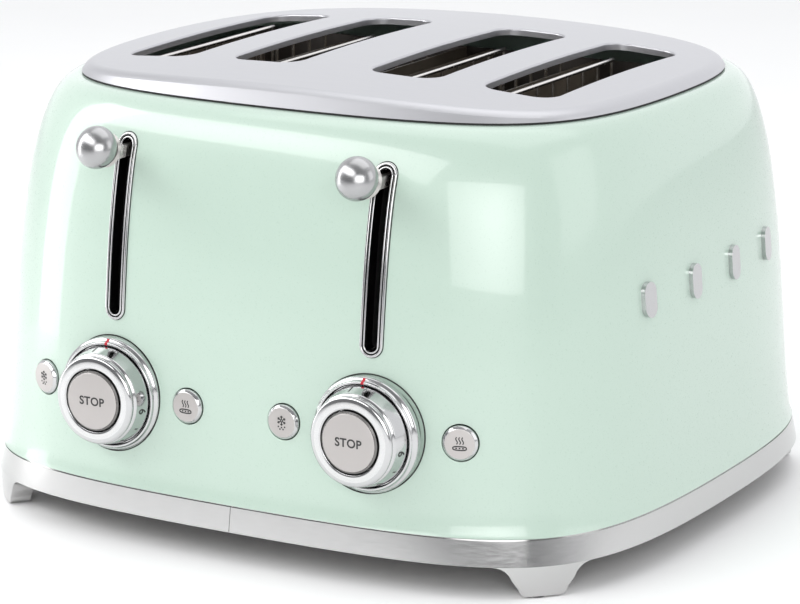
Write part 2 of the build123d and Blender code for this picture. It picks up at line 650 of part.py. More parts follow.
# ---------------------------------------------------------------- build
def main():
    os.makedirs("parts", exist_ok=True)
    outer = body()
    skin = body(1.0) - outer
    band = make_band()
    band_solid = Solid.make_loft([outline(**BAND_LOW), outline(**BAND_HIGH)])

    save(make_shell(outer), "outer_shell")
    save(make_seal(), "top_seal")
    save(make_panel(), "top_panel")
    save(band, "base_band")
    save(make_pan(), "base_pan")
    save(make_foot_pads(), "foot_pads")
    save(make_screws(), "base_screws")
    save(make_gland(), "cord_gland")
    save(make_studs(outer, 2.0), "side_studs")
    save(make_front_wall(), "front_bulkhead")
    save(make_rear_wall(), "rear_bulkhead")

    for name, side in SIDES:
        x = side * CONTROL_X
        slots = [slot_x for _, slot_x, half in SLOTS if half == name]
        save(make_slot_bezel(x, outer, skin), "lever_slot_bezel_" + name)
        save(make_dial_bezel(x, outer), "dial_bezel_" + name)
        save(make_knob(x), "dial_knob_" + name)
        save(make_shaft(x), "dial_shaft_" + name)
        save(make_stop(x), "stop_button_" + name)
        save(make_button(x - BUTTON_PITCH), "defrost_button_" + name)
        save(make_button(x + BUTTON_PITCH), "reheat_button_" + name)
        save(make_board(x), "control_board_" + name)
        save(make_ball(x), "lever_ball_" + name)
        save(make_lever_arm(x), "lever_arm_" + name)
        save(make_carriage(x, slots), "carriage_" + name)
        save(make_rod(x), "guide_rod_" + name)
        save(make_spring(x), "lift_spring_" + name)
        save(make_magnet(x), "electromagnet_" + name)
        save(make_tray(x, band_solid), "crumb_tray_" + name)

    cards = []
    for name, x, _ in SLOTS:
        save(make_rack(x), "bread_rack_" + name)
        for edge, word in ((-1, "left"), (1, "right")):
            save(make_guide(x + edge * GUIDE_OFFSET), "bread_guide_" + name + "_" + word)
    for half, side in SIDES:
        centre = side * (SLOT_PITCH_MIDDLE / 2 + SLOT_PITCH_PAIR / 2)
        for place, offset, faces in (("inner", -side * 2 * CARD_OFFSET, (side,)), ("middle", 0, (-1, 1)),
                                     ("outer", side * 2 * CARD_OFFSET, (-side,))):
            x = centre + offset
            save(make_card(x), "heater_card_" + place + "_" + half)
            cards.append((x, faces))
    save(make_windings(cards), "heater_windings")


main()
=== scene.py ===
import json
import math

import bmesh
import bpy
from mathutils import Matrix, Vector


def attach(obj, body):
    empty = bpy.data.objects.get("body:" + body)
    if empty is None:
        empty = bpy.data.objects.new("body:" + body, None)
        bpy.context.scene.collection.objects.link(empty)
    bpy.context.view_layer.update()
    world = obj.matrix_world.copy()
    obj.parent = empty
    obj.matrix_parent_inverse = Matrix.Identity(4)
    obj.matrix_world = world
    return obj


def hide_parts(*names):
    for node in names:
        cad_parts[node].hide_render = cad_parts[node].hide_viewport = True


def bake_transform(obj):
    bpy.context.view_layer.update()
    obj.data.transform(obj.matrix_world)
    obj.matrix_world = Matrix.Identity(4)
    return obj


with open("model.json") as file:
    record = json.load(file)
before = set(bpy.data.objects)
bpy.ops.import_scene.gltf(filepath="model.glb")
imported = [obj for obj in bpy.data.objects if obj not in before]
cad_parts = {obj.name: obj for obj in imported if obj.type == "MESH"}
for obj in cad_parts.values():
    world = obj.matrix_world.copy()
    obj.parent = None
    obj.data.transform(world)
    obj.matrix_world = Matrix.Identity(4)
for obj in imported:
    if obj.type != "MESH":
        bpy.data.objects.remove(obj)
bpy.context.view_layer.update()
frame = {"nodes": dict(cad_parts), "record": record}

MM = 0.001

# ------------------------------------------------------------------ dimensions (millimetres, as in the CAD)
# A level is a plan outline: half width a, half depth b, corner fullness k, centre line y c, height z.
SHELL_LOW = dict(a=169.5, b=156.0, k=0.89, c=0.9, z=26.6)
RIM = dict(a=142.1, b=119.9, k=0.83, c=1.7, z=200.2)
PROFILE = ((0.0, 0.0), (0.19, 0.06), (0.12, 1.01), (1.0, 1.0))
SHEET = 1.2
RIM_LIP = 6.5
SIDES = (("left", -1), ("right", 1))
CONTROL_X = 67.0

LEVER_SLOT_Z = (101.3, 185.8)
LEVER_SLOT_WIDTH = 11.5
LEVER_SLOT_ENDS = (LEVER_SLOT_Z[0] + LEVER_SLOT_WIDTH / 2, LEVER_SLOT_Z[1] - LEVER_SLOT_WIDTH / 2)
FRAME_OVERLAP = 1.2

BALL_CENTRE = (-157.0, 183.0)
BALL_RADIUS = 9.7
BALL_REACH = 7.8
BALL_BORE = 2.52
STEM_RISE = 0.325

SPRING_Y = -95.0
SPRING_Z = (17.9, 122.3)
SPRING_RADIUS = 5.2
SPRING_WIRE = 0.7
SPRING_TURNS = 16

DIAL_Z = 67.9
DIAL_BASE_Y = -148.0
DIAL_HOLE_RADIUS = 24.4
DIAL_SKIRT_TOP = 20.9
DIAL_SKIRT_FOOT = (22.7, 5.4)
STOP_FACE_Y = -165.0
STOP_PROUD = 0.9
STOP_RADIUS = 14.0
DIAL_FACE = DIAL_BASE_Y - STOP_FACE_Y - STOP_PROUD
SKIRT_TOP_HEIGHT = DIAL_FACE - 4.0

BUTTON_PITCH = 41.8
BUTTON_RADIUS = 8.05
BUTTON_HOLE_RADIUS = 8.4
BUTTON_PROUD = 2.0

GLAND_PLACE = (0, 150, 40)
GLAND_HOLE_RADIUS = 6.2


# ------------------------------------------------------------------ casing formula
def cubic(p, t):
    """Cubic Bezier value through four control values."""
    u = 1 - t
    return u**3 * p[0] + 3 * u * u * t * p[1] + 3 * u * t * t * p[2] + t**3 * p[3]


def cubic_slope(p, t):
    u = 1 - t
    return 3 * (u * u * (p[1] - p[0]) + 2 * u * t * (p[2] - p[1]) + t * t * (p[3] - p[2]))


def profile_level(t, by=0.0):
    """Level of the casing at profile parameter t, moved out square to the profile by a distance."""
    inset, rise = (cubic([p[i] for p in PROFILE], t) for i in (0, 1))
    d_inset, d_rise = (cubic_slope([p[i] for p in PROFILE], t) for i in (0, 1))
    height = RIM["z"] - SHELL_LOW["z"]
    run = (SHELL_LOW["a"] - RIM["a"] + SHELL_LOW["b"] - RIM["b"]) / 2
    slope = math.atan2(run * d_inset, height * d_rise)
    out = {key: SHELL_LOW[key] + (RIM[key] - SHELL_LOW[key]) * inset for key in "abkc"}
    out["z"] = SHELL_LOW["z"] + height * rise + by * math.sin(slope)
    out["a"] += by * math.cos(slope)
    out["b"] += by * math.cos(slope)
    return out


def outline_point(level, u):
    """Point of a plan outline; u runs 0 to 4 anticlockwise from the middle of the front."""
    quarter = int(u) % 4
    t = u - int(u)
    forward = quarter % 2 == 0
    s = t if forward else 1 - t
    a, b, k = level["a"], level["b"], level["k"]
    x = cubic((0, k * a, a, a), s)
    y = cubic((b, b, k * b, 0), s)
    sx = 1 if quarter in (0, 1) else -1
    sy = -1 if quarter in (0, 3) else 1
    return Vector((sx * x, sy * y + level["c"], level["z"]))


def bisect(function, target):
    """Argument between 0 and 1 at which a rising function reaches the target."""
    low, high = 0.0, 1.0
    for _ in range(40):
        mid = (low + high) / 2
        if function(mid) < target:
            low = mid
        else:
            high = mid
    return low


def front_y(x, z):
    """Y of the casing's front surface at x and height z."""
    level = profile_level(bisect(lambda t: profile_level(t)["z"], z))
    a, b, k = level["a"], level["b"], level["k"]
    t = bisect(lambda s: cubic((0, k * a, a, a), s), abs(x))
    return level["c"] - cubic((b, b, k * b, 0), t)


def front_turn(x, z):
    """Angle about Z by which the casing's front is turned away at x and z."""
    reach = 2
    return math.atan2(front_y(x + reach, z) - front_y(x - reach, z), 2 * reach)


# ------------------------------------------------------------------ node helpers
def new_material(name):
    material = bpy.data.materials.new(name)
    material.use_nodes = True
    tree = material.node_tree
    return material, tree, tree.nodes["Principled BSDF"]


def add_node(tree, kind, **inputs):
    node = tree.nodes.new(kind)
    for key, value in inputs.items():
        node.inputs[key.replace("_", " ")].default_value = value
    return node


def noise(tree, scale, detail=2.0, roughness=0.5, stretch=(1, 1, 1)):
    """Object-space noise, with the space stretched along the axes first."""
    where = tree.nodes.new("ShaderNodeTexCoord")
    mapping = tree.nodes.new("ShaderNodeMapping")
    mapping.inputs["Scale"].default_value = stretch
    tree.links.new(where.outputs["Object"], mapping.inputs["Vector"])
    texture = add_node(tree, "ShaderNodeTexNoise", Scale=scale, Detail=detail, Roughness=roughness)
    tree.links.new(mapping.outputs["Vector"], texture.inputs["Vector"])
    return texture.outputs["Fac"]


def remap(tree, value, low, high, start=0.3, stop=0.7):
    """Stretches value from start-stop to low-high; noise mostly stays within the default span."""
    node = tree.nodes.new("ShaderNodeMapRange")
    node.inputs["From Min"].default_value = start
    node.inputs["From Max"].default_value = stop
    node.inputs["To Min"].default_value = low
    node.inputs["To Max"].default_value = high
    tree.links.new(value, node.inputs["Value"])
    return node.outputs["Result"]


def colour_mix(tree, factor, first, second):
    node = tree.nodes.new("ShaderNodeMix")
    node.data_type = "RGBA"
    node.inputs["A"].default_value = (*first, 1)
    node.inputs["B"].default_value = (*second, 1)
    tree.links.new(factor, node.inputs["Factor"])
    return node.outputs["Result"]


def bump(tree, shader, height, strength, distance):
    node = tree.nodes.new("ShaderNodeBump")
    node.inputs["Strength"].default_value = strength
    node.inputs["Distance"].default_value = distance
    tree.links.new(height, node.inputs["Height"])
    tree.links.new(node.outputs["Normal"], shader.inputs["Normal"])


def surface(name, low, high, metallic, rough, scale=60.0, stretch=(1, 1, 1), grain=0.0, mottle=4.0,
            **constants):
    """Two-tone material with uneven roughness and, where grain is given, a fine bump, all from noise."""
    material, tree, shader = new_material(name)
    shader.inputs["Metallic"].default_value = metallic
    for key, value in constants.items():
        shader.inputs[key.replace("_", " ")].default_value = value
    tone = remap(tree, noise(tree, mottle, 3.0), 0.0, 1.0)
    tree.links.new(colour_mix(tree, tone, low, high), shader.inputs["Base Color"])
    fine = noise(tree, scale, 4.0, 0.6, stretch)
    tree.links.new(remap(tree, fine, rough[0], rough[1]), shader.inputs["Roughness"])
    if grain:
        bump(tree, shader, fine, grain, distance=0.0001)
    return material


def make_materials():
    """One material for every slot of the record, and a few for single faces and prints."""
    m = {}
    m["mint_paint"] = surface(
        "mint_enamel", (0.446, 0.562, 0.486), (0.452, 0.568, 0.492), 0.0, (0.27, 0.29), scale=1400,
        mottle=3.0, Coat_Weight=0.75, Coat_Roughness=0.04, Coat_IOR=1.5)
    m["satin_steel"] = surface(
        "satin_steel", (0.50, 0.50, 0.522), (0.53, 0.53, 0.552), 1.0, (0.36, 0.42), scale=260,
        stretch=(0.12, 9, 9), grain=0.02, mottle=2.0)
    m["polished_trim"] = surface(
        "polished_chrome", (0.55, 0.55, 0.555), (0.59, 0.59, 0.595), 1.0, (0.09, 0.12), scale=90)
    m["lever_chrome"] = surface(
        "lever_chrome", (0.40, 0.40, 0.405), (0.43, 0.43, 0.435), 1.0, (0.24, 0.27), scale=90)
    m["stop_edge"] = surface(
        "stop_edge", (0.16, 0.155, 0.15), (0.20, 0.195, 0.19), 1.0, (0.25, 0.32), scale=300)
    m["satin_trim"] = surface(
        "satin_chrome", (0.66, 0.66, 0.66), (0.70, 0.70, 0.70), 1.0, (0.20, 0.25), scale=700, grain=0.01)
    m["band_metal"] = surface(
        "polished_band", (0.53, 0.528, 0.525), (0.57, 0.568, 0.565), 1.0, (0.12, 0.16), scale=160,
        stretch=(1, 1, 6), mottle=3.0)
    m["black_rubber"] = surface(
        "black_rubber", (0.012, 0.012, 0.012), (0.022, 0.022, 0.022), 0.0, (0.55, 0.75), scale=500,
        grain=0.2)
    m["button_metal"] = surface(
        "satin_button", (0.48, 0.455, 0.445), (0.50, 0.475, 0.465), 0.85, (0.36, 0.42), scale=900,
        grain=0.01)
    m["pressed_steel"] = surface(
        "galvanised_steel", (0.11, 0.10, 0.095), (0.17, 0.155, 0.145), 1.0, (0.34, 0.5), scale=60,
        mottle=40, grain=0.05)
    m["mechanism_steel"] = surface(
        "plated_steel", (0.45, 0.44, 0.42), (0.55, 0.54, 0.52), 1.0, (0.22, 0.38), scale=140, mottle=30)
    m["guide_wire"] = surface(
        "plated_wire", (0.66, 0.64, 0.62), (0.76, 0.74, 0.72), 1.0, (0.16, 0.30), scale=200, mottle=25)
    m["mica"] = surface(
        "mica_sheet", (0.10, 0.082, 0.062), (0.17, 0.142, 0.11), 0.0, (0.35, 0.6), scale=35,
        stretch=(1, 1, 3), mottle=30, grain=0.1)
    m["heating_ribbon"] = surface(
        "nichrome_ribbon", (0.20, 0.17, 0.15), (0.30, 0.26, 0.23), 1.0, (0.35, 0.5), scale=200, mottle=40)
    m["circuit_board"] = surface(
        "board_laminate", (0.012, 0.10, 0.045), (0.02, 0.14, 0.06), 0.0, (0.3, 0.45), scale=160, mottle=60)
    m["magnet"] = surface(
        "core_and_coil", (0.16, 0.10, 0.07), (0.26, 0.15, 0.09), 0.6, (0.35, 0.6), scale=200, mottle=60)
    m["spring_steel"] = surface(
        "spring_steel", (0.50, 0.50, 0.50), (0.60, 0.60, 0.60), 1.0, (0.2, 0.32), scale=260, mottle=60)
    m["legend_ink"] = surface(
        "legend_ink", (0.018, 0.018, 0.018), (0.03, 0.03, 0.03), 0.0, (0.4, 0.55), scale=300)
    m["index_red"] = surface(
        "index_red", (0.42, 0.012, 0.028), (0.50, 0.02, 0.036), 0.0, (0.3, 0.42), scale=300)
    # Near-black painted shade: the floor of the slot frames' grooves, the gap shadows round the slot frames
    # and dial rings, and the inside of the lever slots.
    m["painted_shade_black"] = surface(
        "painted_shade_black", (0.004, 0.004, 0.004), (0.008, 0.008, 0.008), 0.0, (0.5, 0.7), scale=300)
    return m


# ------------------------------------------------------------------ mesh helpers
SMOOTH_ANGLE = 35.0


def make_object(name, vertices, faces, materials, face_material=None, smooth_angle=SMOOTH_ANGLE):
    """Object from points in millimetres, shaded smooth up to an angle."""
    mesh = bpy.data.meshes.new(name)
    mesh.from_pydata([Vector(v) * MM for v in vertices], [], faces)
    for material in materials:
        mesh.materials.append(material)
    if face_material:
        mesh.polygons.foreach_set("material_index", face_material)
    work = bmesh.new()
    work.from_mesh(mesh)
    bmesh.ops.remove_doubles(work, verts=work.verts, dist=1e-7)
    bmesh.ops.recalc_face_normals(work, faces=work.faces)
    work.to_mesh(mesh)
    work.free()
    piece = bpy.data.objects.new(name, mesh)
    bpy.context.scene.collection.objects.link(piece)
    shade(mesh, smooth_angle)
    return piece


def shade(mesh, smooth_angle=SMOOTH_ANGLE):
    mesh.polygons.foreach_set("use_smooth", [True] * len(mesh.polygons))
    mesh.set_sharp_from_angle(angle=math.radians(smooth_angle))


def grid(rings, closed=False):
    """Vertices and quads between rings of points; closed joins the last ring to the first."""
    count = len(rings[0])
    vertices = [p for ring in rings for p in ring]
    faces = []
    for i in range(len(rings) if closed else len(rings) - 1):
        j = (i + 1) % len(rings)
        for n in range(count):
            m = (n + 1) % count
            faces.append((i * count + n, i * count + m, j * count + m, j * count + n))
    return vertices, faces


def rounded(points, steps=5):
    """Path of (r, h) points where a third number rounds the corner by that radius."""
    out = []
    count = len(points)
    for i, point in enumerate(points):
        here = Vector(point[:2])
        radius = point[2] if len(point) > 2 else 0.0
        if not radius or i in (0, count - 1):
            out.append(here)
            continue
        back = Vector(points[i - 1][:2]) - here
        ahead = Vector(points[i + 1][:2]) - here
        reach = min(radius, 0.49 * back.length, 0.49 * ahead.length)
        start, end = here + back.normalized() * reach, here + ahead.normalized() * reach
        for n in range(steps + 1):
            t = n / steps
            out.append(start * (1 - t) ** 2 + here * 2 * t * (1 - t) + end * t * t)
    return out


def circle(radius, count, x=0.0, y=0.0):
    """Points of a circle, anticlockwise from its right-hand side."""
    turns = [2 * math.pi * n / count for n in range(count)]
    return [(x + radius * math.cos(turn), y + radius * math.sin(turn)) for turn in turns]


def lathe(name, points, place, materials, pick=None, segments=144):
    """Solid of revolution about local Z from (radius, height) points.

    The outline is closed or runs from axis to axis; pick gives the material number at a point of it.
    """
    path = rounded(points)
    on_axis = 1e-6
    vertices, rings, faces, picks = [], [], [], []
    for point in path:
        if point.x < on_axis:
            rings.append([len(vertices)])
            vertices.append(place @ Vector((0, 0, point.y)))
            continue
        rings.append(range(len(vertices), len(vertices) + segments))
        vertices += [place @ Vector((x, y, point.y)) for x, y in circle(point.x, segments)]
    from_axis = path[0].x < on_axis and path[-1].x < on_axis
    for i in range(len(rings) - 1 if from_axis else len(rings)):
        j = (i + 1) % len(rings)
        middle = (path[i] + path[j]) / 2
        for n in range(segments):
            m = (n + 1) % segments
            lower = [rings[i][n % len(rings[i])], rings[i][m % len(rings[i])]]
            upper = [rings[j][m % len(rings[j])], rings[j][n % len(rings[j])]]
            face = list(dict.fromkeys(lower + upper))
            if len(face) > 2:
                faces.append(face)
                picks.append(pick(middle) if pick else 0)
    return make_object(name, vertices, faces, materials, picks)


def facing(x, y, z, turn=0.0, lean=0.0):
    """Place whose local X is right, Y up and Z out towards the user, in millimetres."""
    axes = Matrix(((1, 0, 0, 0), (0, 0, -1, 0), (0, 1, 0, 0), (0, 0, 0, 1)))
    turned = Matrix.Rotation(turn, 4, "Z") @ axes @ Matrix.Rotation(-lean, 4, "X")
    return Matrix.Translation((x, y, z)) @ turned


def finish_piece(piece, body, slot, *nodes):
    """Puts a piece on its body and hides the CAD nodes it stands for. The slot argument is not used."""
    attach(piece, body)
    if nodes:
        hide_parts(*nodes)
    return piece


def cut(piece, cutters):
    """Takes the cutters out of a piece and removes them."""
    for cutter in cutters:
        modifier = piece.modifiers.new("cut", "BOOLEAN")
        modifier.operation = "DIFFERENCE"
        modifier.solver = "EXACT"
        modifier.object = cutter
    graph = bpy.context.evaluated_depsgraph_get()
    graph.update()
    mesh = bpy.data.meshes.new_from_object(piece.evaluated_get(graph))
    piece.modifiers.clear()
    piece.data = mesh
    shade(mesh)
    for cutter in cutters:
        bpy.data.objects.remove(cutter)


def stadium(radius, low, high, x=0.0):
    """Upright stadium of (x, z) points, anticlockwise, whose round ends are centred at low and high."""
    round_steps, side_steps = 24, 16
    points = []
    for start, end, turn in ((high, low, 0.0), (low, high, math.pi)):
        for n in range(round_steps + 1):
            angle = turn + math.pi * n / round_steps
            points.append((x + radius * math.cos(angle), start + radius * math.sin(angle)))
        edge = x - radius * math.cos(turn)
        points += [(edge, start + (end - start) * n / side_steps) for n in range(1, side_steps)]
    return points


def prism_between(name, loop_a, loop_b):
    """Closed solid between two loops with as many points."""
    vertices, faces = grid([loop_a, loop_b])
    count = len(loop_a)
    faces.append(tuple(range(count)))
    faces.append(tuple(range(count, 2 * count)))
    return make_object(name, vertices, faces, [])


def drill(radius, place, near, far, segments):
    """Round cutter along the local Z of a place."""
    loops = [[place @ Vector((x, y, height)) for x, y in circle(radius, segments)] for height in (near, far)]
    return prism_between("cutter", *loops)


# ------------------------------------------------------------------ casing
def button_spots():
    """Side name, kind and place of the four small buttons."""
    for name, side in SIDES:
        for kind, offset in (("defrost", -BUTTON_PITCH), ("reheat", BUTTON_PITCH)):
            x = side * CONTROL_X + offset
            yield name, kind, facing(x, front_y(x, DIAL_Z), DIAL_Z, front_turn(x, DIAL_Z))


def make_casing(material):
    """Enamel skin with its turned-in rim, and the holes for levers, dials, buttons and the cord gland."""
    around, up, crowding = 240, 72, 0.9
    heights = [(n / up) ** crowding for n in range(up + 1)]
    outer = [profile_level(t) for t in heights]
    inner = [profile_level(t, -SHEET) for t in heights]
    lip = dict(RIM, a=RIM["a"] - RIM_LIP, b=RIM["b"] - RIM_LIP)
    lip_low = dict(lip, z=lip["z"] - SHEET)
    levels = outer + [lip, lip_low] + inner[::-1]
    rings = [[outline_point(level, 4 * n / around) for n in range(around)] for level in levels]
    vertices, faces = grid(rings, closed=True)
    casing = make_object("casing", vertices, faces, [material])
    cutters = []
    for _, side in SIDES:
        x = side * CONTROL_X
        shape = stadium(LEVER_SLOT_WIDTH / 2 - FRAME_OVERLAP, *LEVER_SLOT_ENDS, x)
        in_front, well_inside = -175, -110
        loops = [[Vector((px, y, pz)) for px, pz in shape] for y in (in_front, well_inside)]
        cutters.append(prism_between("cutter", *loops))
        dial_place = facing(x, DIAL_BASE_Y, DIAL_Z)
        cutters.append(drill(DIAL_HOLE_RADIUS, dial_place, near=22, far=-28, segments=96))
    for _, _, place in button_spots():
        cutters.append(drill(BUTTON_HOLE_RADIUS, place, near=20, far=-20, segments=64))
    cutters.append(drill(GLAND_HOLE_RADIUS, facing(*GLAND_PLACE), near=20, far=-20, segments=64))
    cut(casing, cutters)
    finish_piece(casing, "chassis", "mint_paint", "outer_shell")


# ------------------------------------------------------------------ controls
def sweep_ring(name, section, loop_at, materials, pick=None):
    """Closed section of (radius, proud) points swept round loop_at(radius) on the casing's front."""
    rings = [[Vector((x, front_y(x, z) - proud, z)) for x, z in loop_at(radius)]
             for radius, proud in section]
    vertices, faces = grid(rings, closed=True)
    picks = []
    for here, ahead in zip(section, section[1:] + section[:1]):
        middle = ((here[0] + ahead[0]) / 2, (here[1] + ahead[1]) / 2)
        picks += [pick(*middle) if pick else 0] * len(rings[0])
    return make_object(name, vertices, faces, materials, picks)


def make_slot_frame(name, side, materials):
    """Double chrome frame that follows the casing round a lever slot, with a black plastic channel behind.
    Its groove floor is near-black painted shade, a thin near-black ring round it is painted shadow of the
    gap against the casing, and the channel's near-black also paints the shade inside the slot.
    """
    def loop_at(radius):
        return stadium(radius, *LEVER_SLOT_ENDS, side * CONTROL_X)

    # Faces on the groove's floor between the two ridges get the near-black painted shade.
    def groove(radius, proud):
        return 1 if 3.76 < radius < 4.34 and -0.2 < proud < 0.45 else 0

    chrome, black = materials["polished_trim"], materials["painted_shade_black"]
    section = rounded([
        (3.0, -6.0), (3.0, 0.85, 0.3), (3.72, 0.85, 0.35), (3.8, -0.1, 0.1), (4.3, -0.1, 0.1),
        (4.38, 0.95, 0.35), (5.45, 0.95, 0.5), (5.5, -0.15), (4.5, -0.15), (4.5, -2.5), (3.6, -6.0),
    ], 4)
    slot_frame = sweep_ring("slot_frame_" + name, section, loop_at, [chrome, black], groove)
    finish_piece(slot_frame, "chassis", "polished_trim", "lever_slot_bezel_" + name)
    # Thin near-black ring round the frame: painted shadow of the gap against the casing.
    gap_shadow_section = [(5.45, -0.15), (5.45, 0.12), (5.75, 0.08), (5.75, -0.15)]
    gap_shadow_ring = sweep_ring("slot_gap_shadow_" + name, gap_shadow_section, loop_at, [black])
    finish_piece(gap_shadow_ring, "chassis", "black_rubber")
    # Black plastic channel inside the slot; its near-black colour is also painted shade there.
    channel_section = [(3.0, -6.1), (3.0, -30.0), (3.7, -30.0), (3.7, -6.1)]
    channel = sweep_ring("slot_channel_" + name, channel_section, loop_at, [black])
    finish_piece(channel, "chassis", "black_rubber")


def make_bezel(name, x, place, materials):
    """Stepped ring of a dial with a thin near-black ring against the casing, painted shadow of the gap
    between them.
    """
    bezel = lathe("dial_ring_" + name, [
        (20.1, -5.9), (24.2, -5.9), (24.2, 0.0), (26.3, 0.0), (26.3, 2.6, 1.3), (24.9, 3.6, 0.5),
        (24.6, 4.2, 0.3), (24.4, 5.0, 0.5), (23.4, 5.1, 0.5), (23.3, 2.6, 0.3), (20.1, 2.6),
    ], place, [materials["polished_trim"]])
    finish_piece(bezel, "chassis", "polished_trim", "dial_bezel_" + name)
    # Near-black ring round the bezel: painted shadow of the gap against the casing.
    gap_shadow_section = [(26.2, -0.3), (26.2, 0.25), (26.75, 0.12), (26.75, -0.3)]
    gap_shadow_ring = sweep_ring("dial_gap_shadow_" + name, gap_shadow_section,
                        lambda radius: circle(radius, 160, x, DIAL_Z), [materials["painted_shade_black"]])
    finish_piece(gap_shadow_ring, "chassis", "black_rubber")


def make_knob(name, place, materials):
    """Turned knob: convex front ring, a groove, and the sloping skirt that carries the numerals."""
    top, skirt = DIAL_FACE, DIAL_SKIRT_FOOT
    knob = lathe("dial_knob_" + name, [
        (4.02, top - 8.4), (14.7, top - 8.4, 0.2), (14.7, top - 0.25, 0.3), (15.6, top, 0.4),
        (17.8, top - 0.1, 1.2), (19.6, top - 0.55, 0.8), (20.4, top - 1.4, 0.5), (20.4, top - 2.1, 0.4),
        (19.9, top - 2.8, 0.4), (19.9, top - 3.3, 0.3), (DIAL_SKIRT_TOP, SKIRT_TOP_HEIGHT, 0.4),
        (*skirt, 0.4), (skirt[0], 3.7, 0.3), (21.2, 3.7), (19.6, top - 9.8), (7.5, top - 9.8),
        (7.5, 1.0), (4.02, 1.0),
    ], place, [materials["polished_trim"], materials["satin_trim"]],
        lambda p: 1 if p.y > top - 0.2 and 15.6 < p.x < 19.8 else 0)
    finish_piece(knob, "dial_" + name, "polished_trim", "dial_knob_" + name)


def make_stop_button(name, place, materials):
    """Round stop button with a dark bevelled edge, a long stem behind and its word in front."""
    top, stem, stem_end = DIAL_FACE, 2.2, -22.9
    stop = lathe("stop_button_" + name, [
        (0, top + STOP_PROUD), (12.9, top + 0.86, 0.3), (13.25, top + 0.3, 0.2), (13.95, top + 0.1, 0.3),
        (STOP_RADIUS, top - 5.3), (stem, top - 5.3), (stem, stem_end), (0, stem_end),
    ], place, [materials["button_metal"], materials["stop_edge"]],
        lambda p: 1 if 12.95 < p.x < 14.1 and p.y > top - 3 else 0)
    finish_piece(stop, "stop_" + name, "button_metal", "stop_button_" + name)
    print_flat("stop_legend_" + name, glyph_mesh("STOP", 5.4), place, top + STOP_PROUD, "stop_" + name,
               materials)


def make_dial(name, side, materials):
    x = side * CONTROL_X
    place = facing(x, DIAL_BASE_Y, DIAL_Z)
    make_bezel(name, x, place, materials)
    make_knob(name, place, materials)
    make_stop_button(name, place, materials)
    make_numerals(name, place, materials)
    make_index(name, place, materials)


def glyph_mesh(text, size):
    """Vertices and faces of a line of text centred on the origin, in the stock typeface."""
    curve = bpy.data.curves.new("glyph", "FONT")
    curve.body = text
    curve.size = size
    curve.align_x = "CENTER"
    curve.align_y = "CENTER"
    curve.resolution_u = 6
    curve.offset = 0.025 * size
    curve.space_character = 1.05
    holder = bpy.data.objects.new("glyph", curve)
    bpy.context.scene.collection.objects.link(holder)
    graph = bpy.context.evaluated_depsgraph_get()
    mesh = bpy.data.meshes.new_from_object(holder.evaluated_get(graph))
    points = [v.co.copy() for v in mesh.vertices]
    faces = [tuple(p.vertices) for p in mesh.polygons]
    bpy.data.objects.remove(holder)
    middle = [(min(p[axis] for p in points) + max(p[axis] for p in points)) / 2 for axis in (0, 1)]
    return [Vector((p.x - middle[0], p.y - middle[1], 0)) for p in points], faces


def print_on(name, shape, wrap, material, body):
    """Thin closed print: flat glyphs put on a surface by wrap(point, height)."""
    points, faces = shape
    count, proud, sunk = len(points), 0.04, -0.02
    vertices = [wrap(p, proud) for p in points] + [wrap(p, sunk) for p in points]
    solid = list(faces) + [tuple(count + i for i in reversed(face)) for face in faces]
    edges = {}
    for face in faces:
        for here, there in zip(face, face[1:] + face[:1]):
            edges.setdefault(frozenset((here, there)), []).append((here, there))
    for uses in edges.values():
        if len(uses) == 1:
            here, there = uses[0]
            solid.append((there, here, count + here, count + there))
    piece = make_object(name, vertices, solid, [material], smooth_angle=20)
    finish_piece(piece, body, "black_rubber")


def print_flat(name, shape, place, height, body, materials):
    """Print on the flat face at a height above a place."""
    def wrap(p, lift):
        return place @ Vector((p.x, p.y, height + lift))

    print_on(name, shape, wrap, materials["legend_ink"], body)


def make_numerals(name, place, materials):
    """Numerals 1 to 6 round the knob's skirt with a dash between each, tops towards the back."""
    low, high = Vector((DIAL_SKIRT_TOP, SKIRT_TOP_HEIGHT)), Vector(DIAL_SKIRT_FOOT)
    slope = (high - low).normalized()
    normal = Vector((-slope.y, slope.x))
    middle = low * 0.45 + high * 0.55
    first, pitch, marks = 10, 25, 11
    shapes = []
    for step in range(marks):
        angle = math.radians(first + pitch * step)
        if step % 2 == 0:
            glyph, polygons = glyph_mesh(str(step // 2 + 1), 5.4)
        else:
            glyph, polygons = stroke([(0, -0.9), (0, 0.9)], 0.75)
        shapes.append(([Vector((p.x, p.y, angle)) for p in glyph], polygons))

    def wrap(p, lift):
        """The point's third number is its mark's angle round the dial."""
        spot = middle + slope * p.y + normal * lift
        turn = p.z - p.x / middle.x
        return place @ Vector((-spot.x * math.sin(turn), spot.x * math.cos(turn), spot.y))

    print_on("dial_numerals_" + name, merge(shapes), wrap, materials["legend_ink"], "dial_" + name)


def make_index(name, place, materials):
    """Red index line over the stepped bezel ring at the top."""
    section = [(23.35, 4.9), (23.7, 5.1), (24.3, 5.05), (24.6, 4.2), (24.95, 3.6), (25.6, 3.2),
               (26.25, 2.0)]
    half, proud, sunk, outward = 0.7, 0.06, -0.12, 0.6
    rings = []
    for radius, height in section:
        rings.append([place @ Vector((x, radius + lift * outward, height + lift))
                      for x, lift in ((-half, proud), (half, proud), (half, sunk), (-half, sunk))])
    vertices, faces = grid(rings)
    faces += [(0, 1, 2, 3), tuple(range(len(vertices) - 4, len(vertices)))]
    piece = make_object("index_mark_" + name, vertices, faces, [materials["index_red"]])
    finish_piece(piece, "chassis", "polished_trim")


